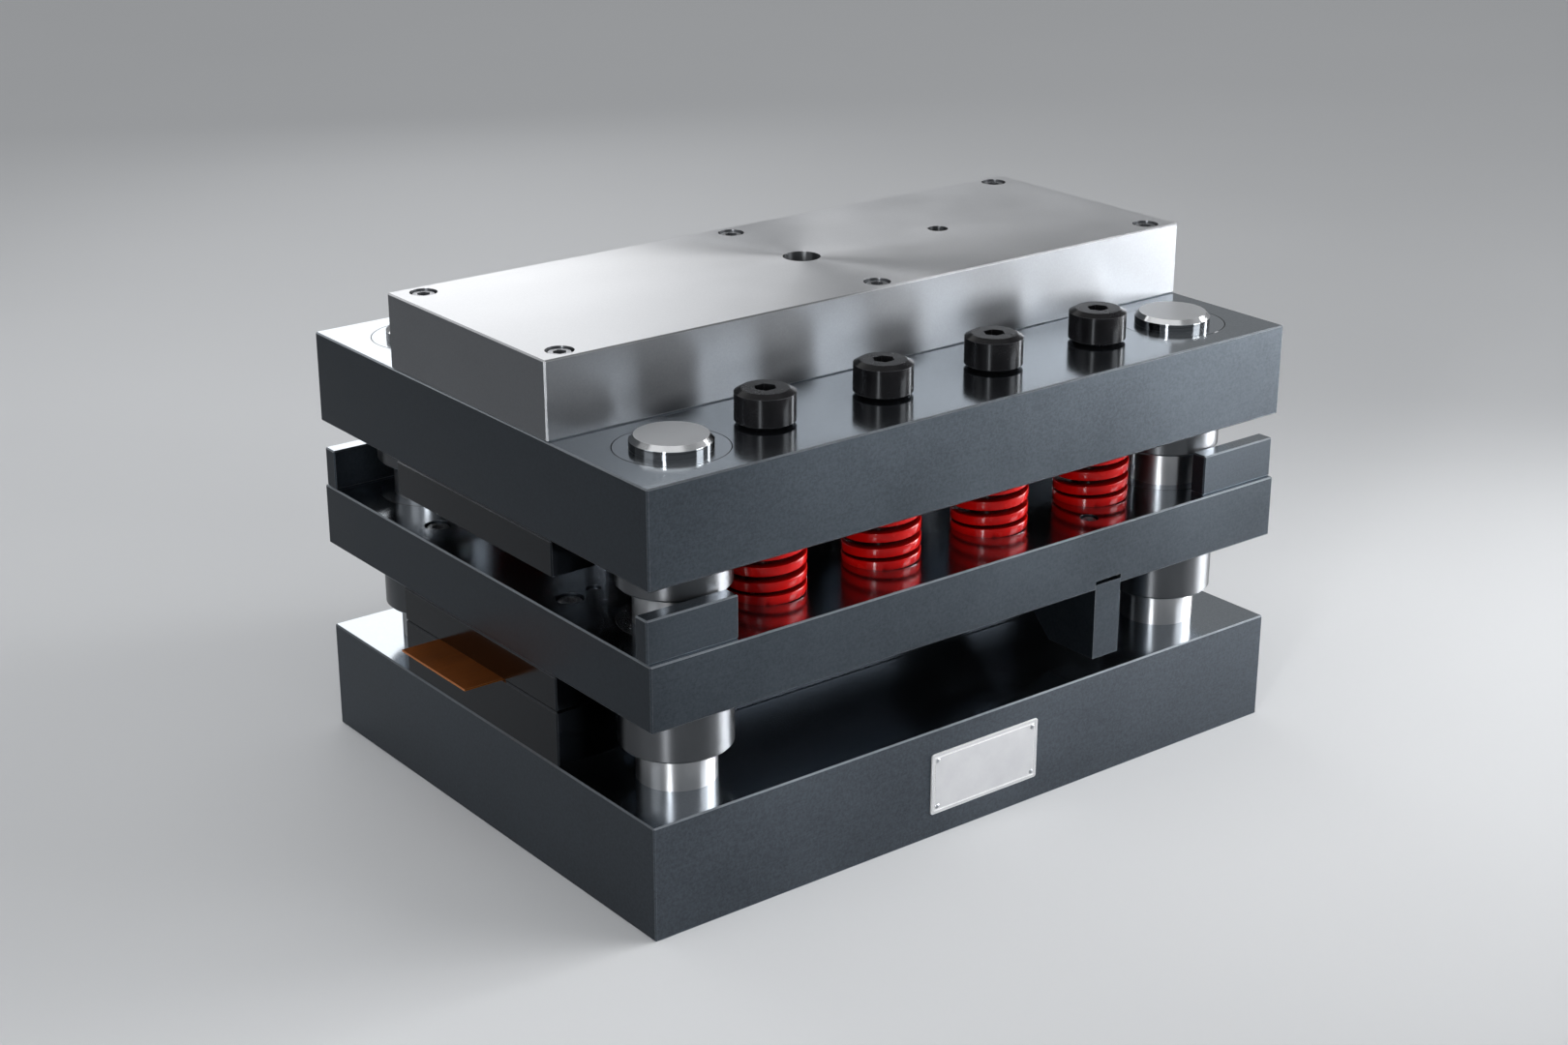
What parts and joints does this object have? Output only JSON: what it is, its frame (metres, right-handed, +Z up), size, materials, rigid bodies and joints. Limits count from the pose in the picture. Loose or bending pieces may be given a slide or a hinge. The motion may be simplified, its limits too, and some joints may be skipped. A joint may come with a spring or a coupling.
{
  "type": "stamping die",
  "caption": "Progressive stamping die: post-guided base and upper shoe, a stripper plate on red springs round shoulder bolts, punches, die inserts and a copper strip.",
  "frame": {"origin": "middle of the three plates' footprint, at the underside of the base, where the die stands on the press bolster", "axes": "+X along the feed and the long side, from the strip's entry end to its exit end; +Y from the front side to the rear; +Z up along the guide posts, which is the closing axis"},
  "size_m": [0.3475, 0.244, 0.2135],
  "materials": {
    "ground_steel": "ground",
    "brushed_steel": "brushed",
    "tool_steel": "fine ground",
    "bearing_steel": "polished",
    "hard_steel": "polished",
    "spring_red": "gloss paint",
    "black_oxide": "black oxide",
    "screw_steel": "satin",
    "copper_strip": "rolled copper"
  },
  "bodies": {
    "lower": {"base_plate": "ground_steel", "front_left_post": "bearing_steel", "front_right_post": "bearing_steel", "rear_left_post": "bearing_steel", "rear_right_post": "bearing_steel", "die_block": "tool_steel", "blank_insert": "hard_steel", "pierce_button": "hard_steel", "pilot_buttons": "hard_steel", "strip_guide_pins": "hard_steel", "die_block_screws": "screw_steel", "die_block_dowels": "hard_steel"},
    "strip": {"strip": "copper_strip"},
    "stripper": {"stripper_plate": "ground_steel", "stripper_insert": "tool_steel", "insert_screws": "screw_steel", "insert_dowels": "hard_steel", "front_left_stripper_bush": "bearing_steel", "front_right_stripper_bush": "bearing_steel", "rear_left_stripper_bush": "bearing_steel", "rear_right_stripper_bush": "bearing_steel", "front_left_stop": "ground_steel", "front_right_stop": "ground_steel", "rear_left_stop": "ground_steel", "rear_right_stop": "ground_steel", "stop_screws": "screw_steel", "striker_block": "ground_steel", "striker_screw": "screw_steel", "front_shoulder_bolts": "black_oxide", "rear_shoulder_bolts": "black_oxide", "front_spring_1": "spring_red", "front_spring_2": "spring_red", "front_spring_3": "spring_red", "front_spring_4": "spring_red", "rear_spring_1": "spring_red", "rear_spring_2": "spring_red", "rear_spring_3": "spring_red", "rear_spring_4": "spring_red"},
    "upper": {"upper_shoe": "ground_steel", "front_left_shoe_bush": "bearing_steel", "front_right_shoe_bush": "bearing_steel", "rear_left_shoe_bush": "bearing_steel", "rear_right_shoe_bush": "bearing_steel", "punch_plate": "tool_steel", "punch_plate_screws": "screw_steel", "punch_plate_dowels": "hard_steel", "pilot_hole_punches": "hard_steel", "pierce_punch": "hard_steel", "blank_punch": "hard_steel", "pilots": "hard_steel", "top_block": "brushed_steel", "top_block_screws": "screw_steel"}
  },
  "joints": [
    {"name": "stripper_lift", "type": "slide", "parent": "lower", "child": "stripper", "axis": [0, 0, 1], "range_m": [0, 0.03]},
    {"name": "upper_slide", "type": "slide", "parent": "stripper", "child": "upper", "axis": [0, 0, 1], "range_m": [-0.0115, 0], "stiffness_N_per_m": 800000, "springref_m": 0.002, "deforming": ["front_spring_1", "front_spring_2", "front_spring_3", "front_spring_4", "rear_spring_1", "rear_spring_2", "rear_spring_3", "rear_spring_4"]},
    {"name": "strip_feed", "type": "slide", "parent": "lower", "child": "strip", "axis": [1, 0, 0], "range_m": [0, 0.04]}
  ]
}
